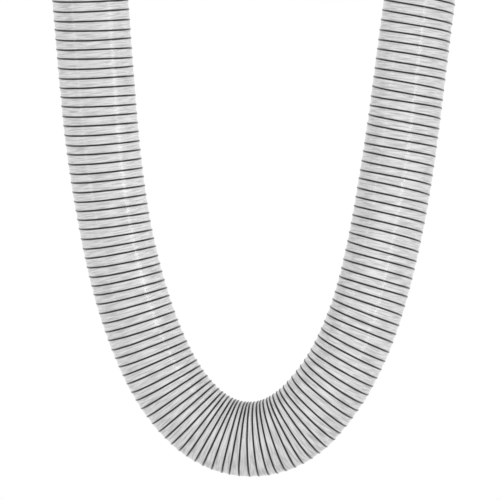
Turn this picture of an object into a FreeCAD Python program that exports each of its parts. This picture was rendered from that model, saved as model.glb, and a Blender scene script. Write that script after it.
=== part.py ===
import FreeCAD, Part
import math
import os

import Sketcher

# Flexible air duct: a thin film tube stiffened by one left-handed spring-wire helix, hanging as a U.
# It is made as straight lengths of film and wire, joined by short film bends where it flexes.
# +Z is up, +X runs from the inlet leg to the outlet leg, and the origin is the centre of the inlet mouth.

DRIVING = {
    "bore_radius": 50.8,        # a 4 in duct
    "film_thickness": 0.8,
    "wire_radius": 1.2,
    "wire_bedding": 0.3,        # how far the wire is pressed into the film
    "wire_pitch": 13.4,
    "wire_inset": 1.6,          # from the end of a straight length to the end of its wire's path
    "bend_half": 12.0,          # how far a film bend reaches along the runs on both sides of its corner
    "seam_gap": 0.2,            # between a film bend and the straight length after it
}

# Corners of the duct's centreline: the inlet mouth, down the first leg, round and up to the outlet mouth
ROUTE = [
    (0, 0, 0),
    (9, 0, -122),
    (21, 0, -258),
    (42, 0, -389),
    (72, 0, -497),
    (106, 0, -573),
    (137, 0, -616),
    (167, 0, -643),
    (200, 0, -659),
    (236, 0, -663),
    (272, 0, -655),
    (305, 0, -634),
    (332, 0, -604),
    (362, 0, -561),
    (396, 4, -484),
    (422, 15, -377),
    (443, 26, -247),
    (459, 36, -111),
    (473, 45, 0),
]
LAST_RUN = len(ROUTE) - 1
BINORMAL = FreeCAD.Vector(0, 1, 0)  # square to the plane that the duct mostly lies in

doc = FreeCAD.newDocument("flexible_air_duct")
sheet = doc.addObject("Spreadsheet::Sheet", "Dimensions")


# --- the sheet, and what is worked out from it ---

def fill_sheet():
    """Put each driving dimension and each coordinate of the route in a cell with its own name."""
    named = dict(DRIVING)
    for number, corner_xyz in enumerate(ROUTE):
        for letter, value in zip("xyz", corner_xyz):
            named[f"corner_{number:02d}_{letter}"] = value
    for line, (alias, value) in enumerate(named.items(), start=1):
        sheet.set(f"A{line}", alias)
        sheet.set(f"B{line}", str(value))
        sheet.setAlias(f"B{line}", alias)
    doc.recompute()


def size(alias):
    return float(getattr(sheet, alias))


def corner(number):
    return FreeCAD.Vector(*(size(f"corner_{number:02d}_{letter}") for letter in "xyz"))


def direction(run):
    """Unit vector along a run; run 1 goes from the inlet mouth to corner 1."""
    return (corner(run) - corner(run - 1)).normalize()


def step(run, letter):
    return f"(Dimensions.corner_{run:02d}_{letter} - Dimensions.corner_{run - 1:02d}_{letter})"


def run_formula(run):
    return "sqrt(" + " + ".join(f"{step(run, letter)}^2" for letter in "xyz") + ")"


def straight_formula(run):
    """Length of a run between the film bends at its ends. A mouth has no bend."""
    formula = run_formula(run)
    if run > 1:
        formula += " - Dimensions.bend_half - Dimensions.seam_gap"
    if run < LAST_RUN:
        formula += " - Dimensions.bend_half"
    return formula


def turn_formula(bend):
    """Angle between the runs that meet at a bend's corner."""
    dot = " + ".join(f"{step(bend, letter)} * {step(bend + 1, letter)}" for letter in "xyz")
    return f"acos(({dot}) / ({run_formula(bend)} * {run_formula(bend + 1)}))"


def bend_radius_formula(bend):
    return f"Dimensions.bend_half / tan({turn_formula(bend)} / 2)"


# --- placements ---

def straight_placement(run):
    """At the start of a straight length, with Z along its run and Y nearest the binormal."""
    along = direction(run)
    start = corner(run - 1)
    if run > 1:
        start = start + along * (size("bend_half") + size("seam_gap"))
    across = BINORMAL.cross(along)
    return FreeCAD.Placement(start, FreeCAD.Rotation(across, BINORMAL, along, "ZYX"))


def wire_placement(run):
    """On the straight length, turned so that the helix carries on from run to run."""
    before = sum((corner(k) - corner(k - 1)).Length for k in range(1, run))
    turned = FreeCAD.Rotation(FreeCAD.Vector(0, 0, 1), -360 * before / size("wire_pitch"))
    inset = FreeCAD.Placement(FreeCAD.Vector(0, 0, size("wire_inset")), turned)
    return straight_placement(run) * inset


def bend_placement(bend):
    """Maps the sketch's centre to the end of the run before, and its axis to the bend's own centre line."""
    before, after = direction(bend), direction(bend + 1)
    inward = (after - before * before.dot(after)).normalize()
    start = corner(bend) - before * size("bend_half")
    turned = FreeCAD.Rotation(inward * -1, before.cross(inward), before * -1, "ZXY")
    half_turn = math.acos(before.dot(after)) / 2
    bend_radius = size("bend_half") / math.tan(half_turn)
    return FreeCAD.Placement(start, turned) * FreeCAD.Placement(
        FreeCAD.Vector(-bend_radius, 0, 0), FreeCAD.Rotation())


# --- sub-parts ---

def ring_section(body, centre_formula=None):
    """Sketch of the film's section: two circles round one point on the sketch's X axis."""
    sketch = body.newObject("Sketcher::SketchObject", body.Name + "_section")
    plane = next(f for f in body.Origin.OriginFeatures if f.Role == "XY_Plane")
    sketch.AttachmentSupport = [(plane, "")]
    sketch.MapMode = "FlatFace"
    origin_point, x_axis, centre_point = -1, -1, 3
    for name, formula in (
        ("inner", "Dimensions.bore_radius"),
        ("outer", "Dimensions.bore_radius + Dimensions.film_thickness"),
    ):
        start = FreeCAD.Vector(size("bore_radius") if centre_formula else 0, 0, 0)
        circle = sketch.addGeometry(
            Part.Circle(start, FreeCAD.Vector(0, 0, 1), size("bore_radius")))
        if centre_formula is None:
            sketch.addConstraint(
                Sketcher.Constraint("Coincident", circle, centre_point, origin_point, 1))
        else:
            sketch.addConstraint(
                Sketcher.Constraint("PointOnObject", circle, centre_point, x_axis))
            away = sketch.addConstraint(
                Sketcher.Constraint("DistanceX", origin_point, 1, circle, centre_point, start.x))
            sketch.renameConstraint(away, name + "_centre")
            sketch.setExpression(f"Constraints.{name}_centre", centre_formula)
        radius = sketch.addConstraint(Sketcher.Constraint("Radius", circle, size("bore_radius")))
        sketch.renameConstraint(radius, name + "_radius")
        sketch.setExpression(f"Constraints.{name}_radius", formula)
    return sketch


def make_film(run):
    """Straight length of the film tube."""
    body = doc.addObject("PartDesign::Body", f"film_{run:02d}")
    section = ring_section(body)
    pad = body.newObject("PartDesign::Pad", body.Name + "_pad")
    pad.Profile = section
    pad.setExpression("Length", straight_formula(run))
    body.Placement = straight_placement(run)
    return body


def make_film_bend(bend):
    """Curved film between two straight lengths, tangent to both."""
    body = doc.addObject("PartDesign::Body", f"film_bend_{bend:02d}")
    section = ring_section(body, bend_radius_formula(bend))
    turn = body.newObject("PartDesign::Revolution", body.Name + "_turn")
    turn.Profile = section
    turn.ReferenceAxis = (section, ["V_Axis"])
    turn.setExpression("Angle", turn_formula(bend))
    body.Placement = bend_placement(bend)
    return body


def make_wire(run):
    """Spring wire round one straight length."""
    helix = doc.addObject("Part::Helix", f"wire_path_{run:02d}")
    helix.Style = "New style"
    helix.LocalCoord = "Left-handed"
    helix.SegmentLength = 0.5
    path_radius = ("Dimensions.bore_radius + Dimensions.film_thickness"
                   " + Dimensions.wire_radius - Dimensions.wire_bedding")
    helix.setExpression("Pitch", "Dimensions.wire_pitch")
    helix.setExpression("Radius", path_radius)
    helix.setExpression("Height", straight_formula(run) + " - 2 * Dimensions.wire_inset")
    ring = doc.addObject("Part::Circle", f"wire_section_{run:02d}")
    ring.setExpression("Radius", "Dimensions.wire_radius")
    ring.setExpression("Placement.Base.x", path_radius)
    ring.Placement.Rotation = FreeCAD.Rotation(FreeCAD.Vector(1, 0, 0), 90)
    wire = doc.addObject("Part::Sweep", f"wire_{run:02d}")
    wire.Sections = [ring]
    wire.Spine = (helix, [])
    wire.Solid = True
    wire.Frenet = True
    wire.Placement = wire_placement(run)
    return wire


# --- checks, then the files ---

def film_area():
    outer = size("bore_radius") + size("film_thickness")
    return math.pi * (outer ** 2 - size("bore_radius") ** 2)


def check_volume(part, expected):
    """The solid has the volume that its section and its length give."""
    if abs(part.Shape.Volume / expected - 1) > 0.02:
        raise RuntimeError(f"{part.Label}: volume {part.Shape.Volume:.0f}, expected {expected:.0f}")


def check_all(parts):
    for thing in doc.Objects:
        if "Invalid" in thing.State or "Error" in thing.State:
            raise RuntimeError(f"{thing.Label} failed: {thing.State}")
    for part in parts:
        if part.Shape.isNull() or not part.Shape.isValid():
            raise RuntimeError(f"{part.Label} has no valid shape")


def straight_length(run):
    ends = (run > 1) * (size("bend_half") + size("seam_gap")) + (run < LAST_RUN) * size("bend_half")
    return (corner(run) - corner(run - 1)).Length - ends


def check_sizes(films, bends, wires):
    path_radius = (size("bore_radius") + size("film_thickness")
                   + size("wire_radius") - size("wire_bedding"))
    per_turn = math.hypot(2 * math.pi * path_radius, size("wire_pitch"))
    wire_area = math.pi * size("wire_radius") ** 2
    for run, (film, wire) in enumerate(zip(films, wires), start=1):
        turns = (straight_length(run) - 2 * size("wire_inset")) / size("wire_pitch")
        check_volume(film, film_area() * straight_length(run))
        check_volume(wire, wire_area * per_turn * turns)
    for bend, film_bend in enumerate(bends, start=1):
        turn = math.acos(direction(bend).dot(direction(bend + 1)))
        radius = size("bend_half") / math.tan(turn / 2)
        check_volume(film_bend, film_area() * radius * turn)
        middle = film_bend.Shape.CenterOfMass
        if (middle - corner(bend)).Length > size("bore_radius") / 2:
            raise RuntimeError(f"{film_bend.Label} turns the wrong way")


fill_sheet()
films = [make_film(run) for run in range(1, LAST_RUN + 1)]
film_bends = [make_film_bend(bend) for bend in range(1, LAST_RUN)]
wires = [make_wire(run) for run in range(1, LAST_RUN + 1)]
doc.recompute()

sub_parts = films + film_bends + wires
for sub_part in sub_parts:
    sub_part.Label = sub_part.Name
check_all(sub_parts)
check_sizes(films, film_bends, wires)

os.makedirs("parts", exist_ok=True)
for sub_part in sub_parts:
    sub_part.Shape.exportStep(f"parts/{sub_part.Label}.step")
print(f"{len(sub_parts)} sub-parts written")
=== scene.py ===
import math

import bpy
import numpy as np
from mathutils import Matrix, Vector


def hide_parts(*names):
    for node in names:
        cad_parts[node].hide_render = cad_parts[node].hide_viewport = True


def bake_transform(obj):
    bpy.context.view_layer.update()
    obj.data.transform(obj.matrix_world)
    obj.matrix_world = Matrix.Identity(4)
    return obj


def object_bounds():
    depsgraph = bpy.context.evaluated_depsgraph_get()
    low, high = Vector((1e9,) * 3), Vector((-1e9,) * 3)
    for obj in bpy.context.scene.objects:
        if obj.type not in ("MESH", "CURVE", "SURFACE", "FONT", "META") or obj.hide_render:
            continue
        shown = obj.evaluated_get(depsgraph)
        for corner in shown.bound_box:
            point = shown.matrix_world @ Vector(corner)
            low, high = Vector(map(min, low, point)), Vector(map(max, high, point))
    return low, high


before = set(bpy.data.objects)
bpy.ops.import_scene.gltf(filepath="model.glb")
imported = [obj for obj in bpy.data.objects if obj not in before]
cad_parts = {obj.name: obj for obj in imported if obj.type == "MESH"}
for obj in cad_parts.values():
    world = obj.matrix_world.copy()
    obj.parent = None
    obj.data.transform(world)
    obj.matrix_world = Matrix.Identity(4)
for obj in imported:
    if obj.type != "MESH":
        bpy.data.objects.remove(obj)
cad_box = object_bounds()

# Flexible air duct hanging as a U: a thin film tube with one left-handed wire helix. Metres, +Z up.
# The duct is drawn as one film and one wire, in spans that each cross one joint. Neighbouring spans
# meet in the same points with the same normals, so that no seam shows between them.

MM = 0.001
# corners of the duct's centreline, from the inlet mouth round to the outlet mouth
ROUTE_MM = [
    (0, 0, 0), (9, 0, -122), (21, 0, -258), (42, 0, -389), (72, 0, -497), (106, 0, -573),
    (137, 0, -616), (167, 0, -643), (200, 0, -659), (236, 0, -663), (272, 0, -655),
    (305, 0, -634), (332, 0, -604), (362, 0, -561), (396, 4, -484), (422, 15, -377),
    (443, 26, -247), (459, 36, -111), (473, 45, 0),
]
ROUTE = np.array(ROUTE_MM, float) * MM
RUNS = len(ROUTE) - 1

WIRE_PATH_R = 52.5 * MM       # from the duct's axis to the middle of the wire
WIRE_R = 1.2 * MM
FILM_TOP_R = 53.3 * MM        # the film's outside where it meets the wire
FILM_THICK = 0.8 * MM
PITCH = 13.65 * MM            # between turns of wire, which a bend keeps on its outer side
FILM_LENGTH = 13.50 * MM      # film cut between two turns of wire
TAUT = 0.002                  # least share of spare film, where it is stretched
DEEPEST = 0.8 * MM            # of the folds between turns, where the bend bunches them
CREASE_DEPTH = 0.10 * MM      # of the fine wrinkles
CREASE_COUNT = 70
CREASE_LENGTHS = (4 * MM, 10 * MM)
SLUMP = 0.2                   # how far a fold's deepest line strays from the middle between two turns
LEAST_ROOM = 0.1              # share of the spacing that is left at the very inside of a bend
WIRE_SHADE_REACH = 1.9 * MM         # from a turn of wire to where the painted shade beside it ends
LEAN = 0.52 * MM              # how far a turn leans out of square
SHIFT = 0.30 * MM             # how far a turn sits off its even place
END_MARGIN = 6 * MM           # from a cut end to the wire's own end
# How much the section is squeezed in the plane of the U, at shares of the duct's length
OVAL_SHARES = (0, 0.13, 0.24, 0.33, 0.42, 0.54, 0.61, 0.69, 0.79, 0.88, 1.0)
OVAL_SQUEEZE = (-0.02, 0, 0.043, 0.028, 0.02, -0.012, 0.03, 0.048, 0.026, 0.042, 0.052)
AROUND = 144                  # film points round the duct
RING_STEP = 1.0 * MM          # between rings of film points
WIRE_STEPS = 80               # wire points per turn
WIRE_SIDES = 10
FULL_TURN = 2 * math.pi
SPARE_TURNS = 2               # turns of film worked out past each mouth
WIRE_END_SHARES = (0.35, 0.7, 0.95)     # rings that round the wire's own end, as shares of its radius

VIEW_WIDTH = 500 * 1.42 * MM            # what the camera's view spans at the duct
INLET_TO_MIDDLE = (0.2295, -0.392)      # from the inlet mouth to the middle of the view, right and up
AZIMUTH, ELEVATION = math.radians(5.7), math.radians(4.4)
LENS, SENSOR = 500.0, 36.0              # a long lens, for the photographed view is nearly parallel
FLOOR_RADIUS = 1.25
FLOOR_DROP = 0.80                       # from the lowest point of the duct to the floor

rng = np.random.default_rng(41)


# --- small helpers ---

def smoothed(values, reach):
    """Moving average along the first axis, with the ends held."""
    kernel = np.hanning(2 * reach + 3)
    kernel /= kernel.sum()
    flat = values.reshape(len(values), -1)
    held = np.pad(flat, [(reach + 1, reach + 1), (0, 0)], mode="edge")
    out = [np.convolve(held[:, k], kernel, "valid") for k in range(flat.shape[1])]
    return np.stack(out, 1).reshape(values.shape)


def unit(rows):
    return rows / np.linalg.norm(rows, axis=-1, keepdims=True)


class Waves:
    """Smooth seeded noise of one number, made of a few waves."""

    def __init__(self, slowest, fastest, count=9):
        self.rate = FULL_TURN * np.exp(rng.uniform(math.log(slowest), math.log(fastest), count))
        self.phase = rng.uniform(0, FULL_TURN, count)
        self.scale = math.sqrt(2 / count)

    def __call__(self, x):
        x = np.asarray(x, float)
        return self.scale * np.cos(x[..., None] * self.rate + self.phase).sum(-1)


# --- centreline ---

class Centreline:
    """The duct's smooth middle line, with the route as its control points, by distance along it."""

    STEP = 0.5 * MM
    # reaches of the moving averages, in steps
    TANGENT_REACH = 12
    TURN_REACH = 30

    def __init__(self):
        points = self.spline_points()
        along = np.r_[0, np.cumsum(np.linalg.norm(np.diff(points, axis=0), axis=1))]
        self.length = along[-1]
        self.s = np.linspace(0, self.length, round(self.length / self.STEP) + 1)
        self.place = np.stack([np.interp(self.s, along, points[:, k]) for k in range(3)], 1)
        self.tangent = unit(smoothed(np.gradient(self.place, self.s, axis=0), self.TANGENT_REACH))
        self.turn = smoothed(np.gradient(self.tangent, self.s, axis=0), self.TURN_REACH)
        across = np.array((0.0, 1.0, 0.0)) - self.tangent * self.tangent[:, 1:2]
        self.back = unit(across)                            # across the U, away from the front
        self.inner = np.cross(self.tangent, self.back)      # towards the inside of the bend

    @staticmethod
    def spline_points():
        curve = bpy.data.curves.new("route", "CURVE")
        curve.dimensions = "3D"
        spline = curve.splines.new("NURBS")
        spline.points.add(len(ROUTE) - 1)
        for point, place in zip(spline.points, ROUTE):
            point.co = (*place, 1)
        spline.order_u = 3
        spline.use_endpoint_u = True
        spline.resolution_u = 48
        holder = bpy.data.objects.new("route", curve)
        mesh = bpy.data.meshes.new_from_object(holder)
        points = np.array([v.co[:] for v in mesh.vertices])
        bpy.data.objects.remove(holder)
        bpy.data.curves.remove(curve)
        bpy.data.meshes.remove(mesh)
        return points

    def at(self, s, rows):
        return np.stack([np.interp(s, self.s, rows[:, k]) for k in range(rows.shape[1])], -1)

    def nearest(self, point):
        return self.s[np.argmin(np.linalg.norm(self.place - point, axis=1))]


line = Centreline()
OVAL_REACH = 80
oval_table = smoothed(np.interp(line.s / line.length, OVAL_SHARES, OVAL_SQUEEZE), OVAL_REACH)


def outward(s, angle):
    """Unit vector out of the middle line: angle 0 faces the inside of the bend, a quarter turn the back."""
    inner, back = line.at(s, line.inner), line.at(s, line.back)
    return np.cos(angle)[..., None] * inner + np.sin(angle)[..., None] * back


def swell(s, angle):
    """The duct isn't quite round: it is squeezed a little in the plane of the U."""
    return 1 - np.interp(s, line.s, oval_table) * np.cos(2 * angle)


# --- the wire's turns ---

class Helix:
    """Where the wire is along the duct, by its count of turns. At angle a it has made n + a/360 turns,
    which in this frame is a left-handed helix."""

    BEND_REACH = 60

    def __init__(self):
        bend = smoothed(np.linalg.norm(line.turn, axis=1), self.BEND_REACH)
        per_metre = (1 + bend * (WIRE_PATH_R + WIRE_R)) / PITCH
        step = line.s[1] - line.s[0]
        self.turns = np.r_[0, np.cumsum((per_metre[1:] + per_metre[:-1]) / 2 * step)]
        self.first = np.interp(END_MARGIN, line.s, self.turns)
        self.last = np.interp(line.length - END_MARGIN, line.s, self.turns)
        self.lean_inner, self.lean_back = Waves(0.03, 0.45), Waves(0.03, 0.45)
        self.shift = Waves(0.05, 0.5)

    def s_at(self, turns):
        """Distance along the duct, with the small leans and shifts that real turns have."""
        s = np.interp(turns, self.turns, line.s)
        s = s + np.minimum(turns - self.turns[0], 0) * PITCH + np.maximum(turns - self.turns[-1], 0) * PITCH
        lean = self.lean_inner(turns) * np.cos(FULL_TURN * turns)
        lean = lean + self.lean_back(turns) * np.sin(FULL_TURN * turns)
        return s + LEAN * lean + SHIFT * self.shift(turns)


helix = Helix()


# --- film ---

class Creases:
    """Fine wrinkles that run round the duct: many short waves, each a whole number of times round."""

    def __init__(self):
        self.round = rng.integers(0, 15, CREASE_COUNT)
        self.along = FULL_TURN / rng.uniform(*CREASE_LENGTHS, CREASE_COUNT)
        self.phase = rng.uniform(0, FULL_TURN, CREASE_COUNT)

    def __call__(self, s, angle):
        total = np.zeros(np.broadcast(s, angle).shape)
        for turns_round, rate, phase in zip(self.round, self.along, self.phase):
            total += np.cos(turns_round * angle + rate * s + phase)
        return total * math.sqrt(2 / len(self.round))


creases = Creases()
slump = Waves(0.1, 0.9)
angles = np.linspace(0, FULL_TURN, AROUND, endpoint=False)
film_turns = np.arange(-SPARE_TURNS, math.ceil(helix.turns[-1]) + SPARE_TURNS + 1)


def film_dip(s):
    """How far the film sinks below the wire, and how far along it is from the nearest turn of wire,
    for rings at s: rings by angles."""
    dip, reach = np.zeros((2, len(s), AROUND))
    turn = line.at(s, line.turn)
    for k, angle in enumerate(angles):
        turns = film_turns + angle / FULL_TURN
        places = helix.s_at(turns)
        found = np.clip(np.searchsorted(places, s) - 1, 0, len(places) - 2)
        gap = places[found + 1] - places[found]
        share = np.clip((s - places[found]) / gap, 0, 1)
        towards = (outward(s, np.full(len(s), angle)) * turn).sum(-1)
        room = gap * np.maximum(1 - WIRE_PATH_R * towards, LEAST_ROOM)
        spare = np.hypot(np.maximum(FILM_LENGTH / room - 1, 0), TAUT)
        depth = 2 * room / math.pi * np.sqrt(spare)
        depth = DEEPEST * np.tanh(depth / DEEPEST)
        skew = SLUMP * slump(turns[found]) * share * (1 - share)
        shape = np.sin(math.pi * np.clip(share + skew, 0, 1))
        loose = CREASE_DEPTH * np.clip(room / CREASE_LENGTHS[1], 0.3, 1.2)
        dip[:, k] = depth * shape + loose * creases(s, angle) * shape ** 0.7
        reach[:, k] = room * np.minimum(share, 1 - share)
    return dip, reach


def film_surface(s, below, dip):
    """Film points that lie below the wire's seat: rings by angles by 3."""
    grid_s, grid_a = np.meshgrid(s, angles, indexing="ij")
    radius = (FILM_TOP_R - dip - below) * swell(grid_s, grid_a)
    return line.at(grid_s, line.place) + outward(grid_s, grid_a) * radius[..., None]


def surface_normals(points):
    """Outward normals of a ring grid, without its first and last ring."""
    along = points[2:] - points[:-2]
    around = np.roll(points, -1, axis=1) - np.roll(points, 1, axis=1)
    return unit(np.cross(along, around[1:-1]))


def grid_faces(rows, columns, first=0, flip=False):
    """Quads between neighbouring rows of a grid whose columns close into a ring."""
    row, column = np.meshgrid(np.arange(rows - 1), np.arange(columns), indexing="ij")
    after = (column + 1) % columns
    quads = np.stack([row * columns + column, row * columns + after,
                      (row + 1) * columns + after, (row + 1) * columns + column], -1)
    quads = quads.reshape(-1, 4) + first
    return quads[:, ::-1] if flip else quads


def mesh_object(name, vertices, faces, corner_normals, corner_uvs):
    """Mesh object from arrays; the faces are all quads."""
    mesh = bpy.data.meshes.new(name)
    mesh.vertices.add(len(vertices))
    mesh.vertices.foreach_set("co", np.ascontiguousarray(vertices, np.float32).ravel())
    mesh.loops.add(faces.size)
    mesh.loops.foreach_set("vertex_index", np.ascontiguousarray(faces, np.int32).ravel())
    mesh.polygons.add(len(faces))
    mesh.polygons.foreach_set("loop_start", np.arange(0, faces.size, 4, dtype=np.int32))
    mesh.update(calc_edges=True)
    mesh.polygons.foreach_set("use_smooth", np.ones(len(faces), bool))
    layer = mesh.uv_layers.new(name="duct")
    layer.data.foreach_set("uv", np.ascontiguousarray(corner_uvs, np.float32).ravel())
    mesh.normals_split_custom_set(corner_normals.reshape(-1, 3))
    obj = bpy.data.objects.new(name, mesh)
    bpy.context.scene.collection.objects.link(obj)
    return obj


class MeshParts:
    """Collects quads with their own corner normals and map coordinates into one mesh."""

    def __init__(self):
        self.vertices, self.faces, self.normals, self.uvs = [], [], [], []
        self.count = 0

    def add_vertices(self, points):
        first = self.count
        flat = points.reshape(-1, 3)
        self.vertices.append(flat)
        self.count += len(flat)
        return first

    def add_faces(self, faces, normals, uvs):
        self.faces.append(faces)
        self.normals.append(normals)
        self.uvs.append(uvs)

    def add_grid(self, points, normals, uvs, flip=False):
        """A ring grid. uvs holds one column more than points has, because the map is cut open there."""
        rows, columns = points.shape[:2]
        first = self.add_vertices(points)
        faces = grid_faces(rows, columns, first, flip)
        corners = (faces - first).reshape(-1, 4)
        row, column = np.divmod(corners, columns)
        face_column = np.tile(np.arange(columns), rows - 1)[:, None]
        open_column = np.where((face_column == columns - 1) & (column == 0), columns, column)
        self.add_faces(faces, normals.reshape(-1, 3)[corners], uvs[row, open_column])
        return first

    def add_band(self, ring_a, ring_b, columns, normal, uv):
        """Joins two rings of points that are in the mesh already."""
        k = np.arange(columns)
        after = (k + 1) % columns
        faces = np.stack([ring_a + k, ring_a + after, ring_b + after, ring_b + k], -1)
        self.add_faces(faces, np.broadcast_to(normal, (columns, 4, 3)), np.full((columns, 4, 2), uv))

    def build(self, name):
        return mesh_object(name, np.concatenate(self.vertices), np.concatenate(self.faces),
                           np.concatenate(self.normals), np.concatenate(self.uvs))


def film_span(name, s_start, s_end):
    """Closed mesh of the film between two cross sections: outside, inside and both edges."""
    rings = round((s_end - s_start) / RING_STEP) + 1
    s = np.linspace(s_start, s_end, rings)
    step = s[1] - s[0]
    wider = np.r_[s_start - step, s, s_end + step]
    dip, reach = film_dip(wider)
    outside = film_surface(wider, 0, dip)
    inside = film_surface(wider, FILM_THICK, dip)
    normals = surface_normals(outside)
    round_map = np.arange(AROUND + 1) / AROUND * FULL_TURN * FILM_TOP_R
    uvs = np.stack(np.broadcast_arrays(round_map[None, :], s[:, None]), -1)
    parts = MeshParts()
    outer = parts.add_grid(outside[1:-1], normals, uvs, flip=True)
    inner = parts.add_grid(inside[1:-1], -normals, uvs)
    last = (rings - 1) * AROUND
    tangents = line.at(np.array((s_start, s_end)), line.tangent)
    parts.add_band(outer, inner, AROUND, -tangents[0], (0, s_start))
    parts.add_band(inner + last, outer + last, AROUND, tangents[1], (0, s_end))
    film = parts.build(name)
    # painted shade: how strongly the film is darkened beside each turn of wire, most at the wire
    wire_shade_mask = film.data.attributes.new("wire_shade_mask", "FLOAT", "POINT")
    wire_shade_mask.data.foreach_set("value", np.tile(np.clip(1 - reach[1:-1].ravel() / WIRE_SHADE_REACH, 0, 1), 2))
    return film


# --- wire ---

def wire_place(turns):
    s, angle = helix.s_at(turns), FULL_TURN * turns
    return line.at(s, line.place) + outward(s, angle) * (WIRE_PATH_R * swell(s, angle))[..., None]


def wire_span(name, turn_start, turn_end, blunt_start, blunt_end):
    """Round wire from one turn count to another; a blunt end is the wire's own, rounded over."""
    count = max(2, round((turn_end - turn_start) * WIRE_STEPS)) + 1
    turns = np.linspace(turn_start, turn_end, count)
    tiny = 1e-4
    centre = wire_place(turns)
    along = unit(wire_place(turns + tiny) - wire_place(turns - tiny))
    up = outward(helix.s_at(turns), FULL_TURN * turns)
    up = unit(up - along * (up * along).sum(-1, keepdims=True))
    across = np.cross(along, up)
    spin = np.arange(WIRE_SIDES) / WIRE_SIDES * FULL_TURN
    spokes = (np.cos(spin)[None, :, None] * up[:, None] + np.sin(spin)[None, :, None] * across[:, None])
    points = centre[:, None] + spokes * WIRE_R
    normals = spokes.copy()
    if blunt_start:
        points, normals = rounded_end(points, normals, centre[0], -along[0], at_start=True)
    if blunt_end:
        points, normals = rounded_end(points, normals, centre[-1], along[-1], at_start=False)
    rows = len(points)
    uvs = np.stack(np.broadcast_arrays(np.linspace(0, 1, WIRE_SIDES + 1)[None, :] * FULL_TURN * WIRE_R,
                                       np.linspace(0, 1, rows)[:, None]), -1)
    parts = MeshParts()
    first = parts.add_grid(points, normals, uvs)
    cap(parts, first, -along[0], reverse=True)
    cap(parts, first + (rows - 1) * WIRE_SIDES, along[-1])
    return parts.build(name)


def rounded_end(points, normals, centre, out, at_start):
    """Adds rings that close in on the wire's end."""
    ring = points[0 if at_start else -1]
    spoke = (ring - centre) / WIRE_R
    extra_points, extra_normals = [], []
    for lift in WIRE_END_SHARES:
        narrow = math.sqrt(1 - lift ** 2)
        extra_points.append(centre + out * lift * WIRE_R + spoke * narrow * WIRE_R)
        extra_normals.append(unit(spoke * narrow + out * lift))
    if at_start:
        extra_points.reverse()
        extra_normals.reverse()
        return np.concatenate([extra_points, points]), np.concatenate([extra_normals, normals])
    return np.concatenate([points, extra_points]), np.concatenate([normals, extra_normals])


def cap(parts, first, normal, reverse=False):
    """Closes a ring with quads that run straight across it."""
    half = WIRE_SIDES // 2
    faces = []
    for k in range(half - 1):
        quad = [first + k, first + k + 1, first + (WIRE_SIDES - 2 - k), first + (WIRE_SIDES - 1 - k)]
        faces.append(quad[::-1] if reverse else quad)
    faces = np.array(faces)
    parts.add_faces(faces, np.broadcast_to(normal, (len(faces), 4, 3)), np.zeros((len(faces), 4, 2)))


# --- materials ---

# noise of the film's map, round the duct and along it
STREAKS_PER_METRE = (34, 560, 1)
RIPPLES_PER_METRE = (45, 520, 1)


def principled(name):
    material = bpy.data.materials.new(name)
    material.use_nodes = True
    return material, material.node_tree.nodes, material.node_tree.links


def noise(nodes, scale, detail, dimensions="3D"):
    node = nodes.new("ShaderNodeTexNoise")
    node.noise_dimensions = dimensions
    node.inputs["Scale"].default_value = scale
    node.inputs["Detail"].default_value = detail
    return node


def two_tones(nodes, low, low_colour, high, high_colour):
    """Colour ramp from one colour to another, between two values of what drives it."""
    node = nodes.new("ShaderNodeValToRGB")
    for element, value, colour in zip(node.color_ramp.elements, (low, high), (low_colour, high_colour)):
        element.position = value
        element.color = (*colour, 1)
    return node


def film_material():
    """Glossy pale grey plastic film with faint streaks and creases that run round the duct, and painted
    shade beside each turn of wire.
    """
    material, nodes, links = principled("film")
    shader = nodes["Principled BSDF"]
    shader.inputs["IOR"].default_value = 1.5
    uv = nodes.new("ShaderNodeUVMap")
    uv.uv_map = "duct"
    stretch = nodes.new("ShaderNodeMapping")
    stretch.inputs["Scale"].default_value = STREAKS_PER_METRE
    links.new(uv.outputs["UV"], stretch.inputs["Vector"])
    streaks = noise(nodes, 1.0, 3.0, "2D")
    streaks.inputs["Roughness"].default_value = 0.6
    links.new(stretch.outputs["Vector"], streaks.inputs["Vector"])
    # The streaks' tone is partly the film's own and partly painted shade and sheen of fine creases.
    tint = two_tones(nodes, 0.32, (0.40, 0.40, 0.405), 0.62, (0.65, 0.65, 0.65))
    links.new(streaks.outputs["Fac"], tint.inputs["Fac"])
    # Painted shade: the film's colour is mixed towards near black beside each turn of wire, where shade
    # falls.
    wire_shade_mask = nodes.new("ShaderNodeAttribute")
    wire_shade_mask.attribute_name = "wire_shade_mask"
    wire_shade_strength = nodes.new("ShaderNodeMapRange")
    wire_shade_strength.inputs["From Min"].default_value = 0.12
    wire_shade_strength.inputs["From Max"].default_value = 0.50
    links.new(wire_shade_mask.outputs["Fac"], wire_shade_strength.inputs["Value"])
    painted_wire_shade = nodes.new("ShaderNodeMix")
    painted_wire_shade.data_type = "RGBA"
    painted_wire_shade.inputs["B"].default_value = (0.03, 0.03, 0.032, 1)
    links.new(wire_shade_strength.outputs["Result"], painted_wire_shade.inputs["Factor"])
    links.new(tint.outputs["Color"], painted_wire_shade.inputs["A"])
    links.new(painted_wire_shade.outputs["Result"], shader.inputs["Base Color"])
    rough = nodes.new("ShaderNodeMapRange")
    rough.inputs["To Min"].default_value = 0.11
    rough.inputs["To Max"].default_value = 0.22
    links.new(streaks.outputs["Fac"], rough.inputs["Value"])
    links.new(rough.outputs["Result"], shader.inputs["Roughness"])
    fine = nodes.new("ShaderNodeMapping")
    fine.inputs["Scale"].default_value = RIPPLES_PER_METRE
    links.new(uv.outputs["UV"], fine.inputs["Vector"])
    grain = noise(nodes, 1.0, 2.0, "2D")
    links.new(fine.outputs["Vector"], grain.inputs["Vector"])
    bump = nodes.new("ShaderNodeBump")
    bump.inputs["Strength"].default_value = 0.8
    bump.inputs["Distance"].default_value = 0.35 * MM
    links.new(grain.outputs["Fac"], bump.inputs["Height"])
    links.new(bump.outputs["Normal"], shader.inputs["Normal"])
    return material


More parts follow.
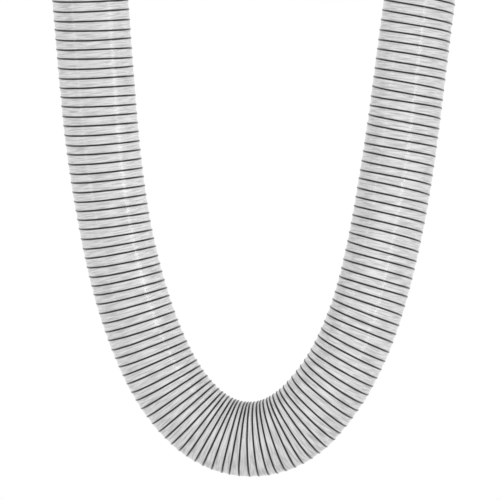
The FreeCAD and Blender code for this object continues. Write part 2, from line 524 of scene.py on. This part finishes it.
def wire_material():
    """Black plastic-coated spring wire, glossy, a little scuffed."""
    material, nodes, links = principled("wire")
    shader = nodes["Principled BSDF"]
    shader.inputs["Specular IOR Level"].default_value = 0.3
    place = nodes.new("ShaderNodeTexCoord")
    scuffs = noise(nodes, 220.0, 3.0)
    links.new(place.outputs["Object"], scuffs.inputs["Vector"])
    tint = two_tones(nodes, 0.3, (0.006, 0.006, 0.006), 0.75, (0.014, 0.014, 0.015))
    links.new(scuffs.outputs["Fac"], tint.inputs["Fac"])
    links.new(tint.outputs["Color"], shader.inputs["Base Color"])
    rough = nodes.new("ShaderNodeMapRange")
    rough.inputs["To Min"].default_value = 0.16
    rough.inputs["To Max"].default_value = 0.30
    links.new(scuffs.outputs["Fac"], rough.inputs["Value"])
    links.new(rough.outputs["Result"], shader.inputs["Roughness"])
    return material


def stage_material():
    """Pale matt studio floor."""
    material, nodes, _ = principled("studio floor")
    shader = nodes["Principled BSDF"]
    shader.inputs["Base Color"].default_value = (0.85, 0.85, 0.85, 1)
    shader.inputs["Roughness"].default_value = 0.9
    return material


film_finish = film_material()
wire_finish = wire_material()


# --- the duct, span by span ---

wire_turns = np.arange(helix.first, helix.last + 0.5 / WIRE_STEPS, 1 / WIRE_STEPS)
wire_crossings = helix.s_at(wire_turns)


def span_ends():
    """Distances along the duct of the middles of the inner runs, with both mouths."""
    middles = [line.nearest((ROUTE[k] + ROUTE[k + 1]) / 2) for k in range(1, RUNS - 1)]
    return [0.0, *middles, line.length]


def turn_at(s):
    """Turn count where the wire crosses a distance along the duct."""
    return np.interp(s, wire_crossings, wire_turns)


ends = span_ends()
for joint in range(1, RUNS):
    s_start, s_end = ends[joint - 1], ends[joint]
    film = film_span(f"film_span_{joint:02d}", s_start, s_end)
    film.data.materials.append(film_finish)
    starts, stops = joint == 1, joint == RUNS - 1
    turn_start = helix.first if starts else turn_at(s_start)
    turn_end = helix.last if stops else turn_at(s_end)
    wire = wire_span(f"wire_span_{joint:02d}", turn_start, turn_end, starts, stops)
    wire.data.materials.append(wire_finish)
    stands_for = [joint] + ([RUNS] if stops else [])
    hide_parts(f"film_bend_{joint:02d}", *(f"film_{k:02d}" for k in stands_for))
    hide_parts(*(f"wire_{k:02d}" for k in stands_for))
    for piece, slot in ((film, "film"), (wire, "wire")):
        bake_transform(piece)


# --- studio ---

def look_at(obj, place, target):
    obj.location = place
    towards = Vector(target) - Vector(place)
    obj.rotation_euler = towards.to_track_quat("-Z", "Y").to_euler()


def area_light(name, place, target, width, height, power):
    light = bpy.data.lights.new(name, "AREA")
    light.shape = "RECTANGLE"
    light.size, light.size_y = width, height
    light.energy = power
    obj = bpy.data.objects.new(name, light)
    bpy.context.scene.collection.objects.link(obj)
    look_at(obj, place, target)
    obj.visible_camera = False


def studio():
    low, high = cad_box
    scene = bpy.context.scene
    scene.view_settings.view_transform = "Standard"
    world = bpy.data.worlds.new("studio")
    world.use_nodes = True
    scene.world = world
    world.node_tree.nodes["Background"].inputs["Color"].default_value = (1, 1, 1, 1)
    world.node_tree.nodes["Background"].inputs["Strength"].default_value = 1.0
    floor_mesh = bpy.data.meshes.new("floor")
    corners = 64
    ring = [(FLOOR_RADIUS * math.cos(FULL_TURN * k / corners),
             FLOOR_RADIUS * math.sin(FULL_TURN * k / corners), 0) for k in range(corners)]
    floor_mesh.from_pydata(ring, [], [list(range(corners))])
    floor = bpy.data.objects.new("floor", floor_mesh)
    floor.location = ((low[0] + high[0]) / 2, 0, low[2] - FLOOR_DROP)
    floor.data.materials.append(stage_material())
    scene.collection.objects.link(floor)


def camera():
    distance = VIEW_WIDTH * LENS / SENSOR
    back = Vector((math.sin(AZIMUTH) * math.cos(ELEVATION), -math.cos(AZIMUTH) * math.cos(ELEVATION),
                   math.sin(ELEVATION)))
    right = Vector((math.cos(AZIMUTH), math.sin(AZIMUTH), 0))
    up = back.cross(right)
    middle = right * INLET_TO_MIDDLE[0] + up * INLET_TO_MIDDLE[1]
    data = bpy.data.cameras.new("camera")
    data.lens, data.sensor_width = LENS, SENSOR
    data.clip_end = 100
    obj = bpy.data.objects.new("camera", data)
    bpy.context.scene.collection.objects.link(obj)
    look_at(obj, middle + back * distance, middle)
    bpy.context.scene.camera = obj


studio()
camera()
# name, place, target, width, height, power
area_light("near strip", (0.29, -0.15, -0.24), (0.02, 0, -0.24), 0.045, 0.45, 0.19)
area_light("right strip", (0.69, -0.41, -0.30), (0.30, 0, -0.30), 0.05, 0.9, 0.72)
area_light("front", (0.30, -2.0, -0.75), (0.24, 0, -0.45), 1.2, 0.8, 3.0)
area_light("left strip", (-1.13, -0.96, -0.30), (0.2, 0, -0.30), 0.2, 1.2, 1.8)
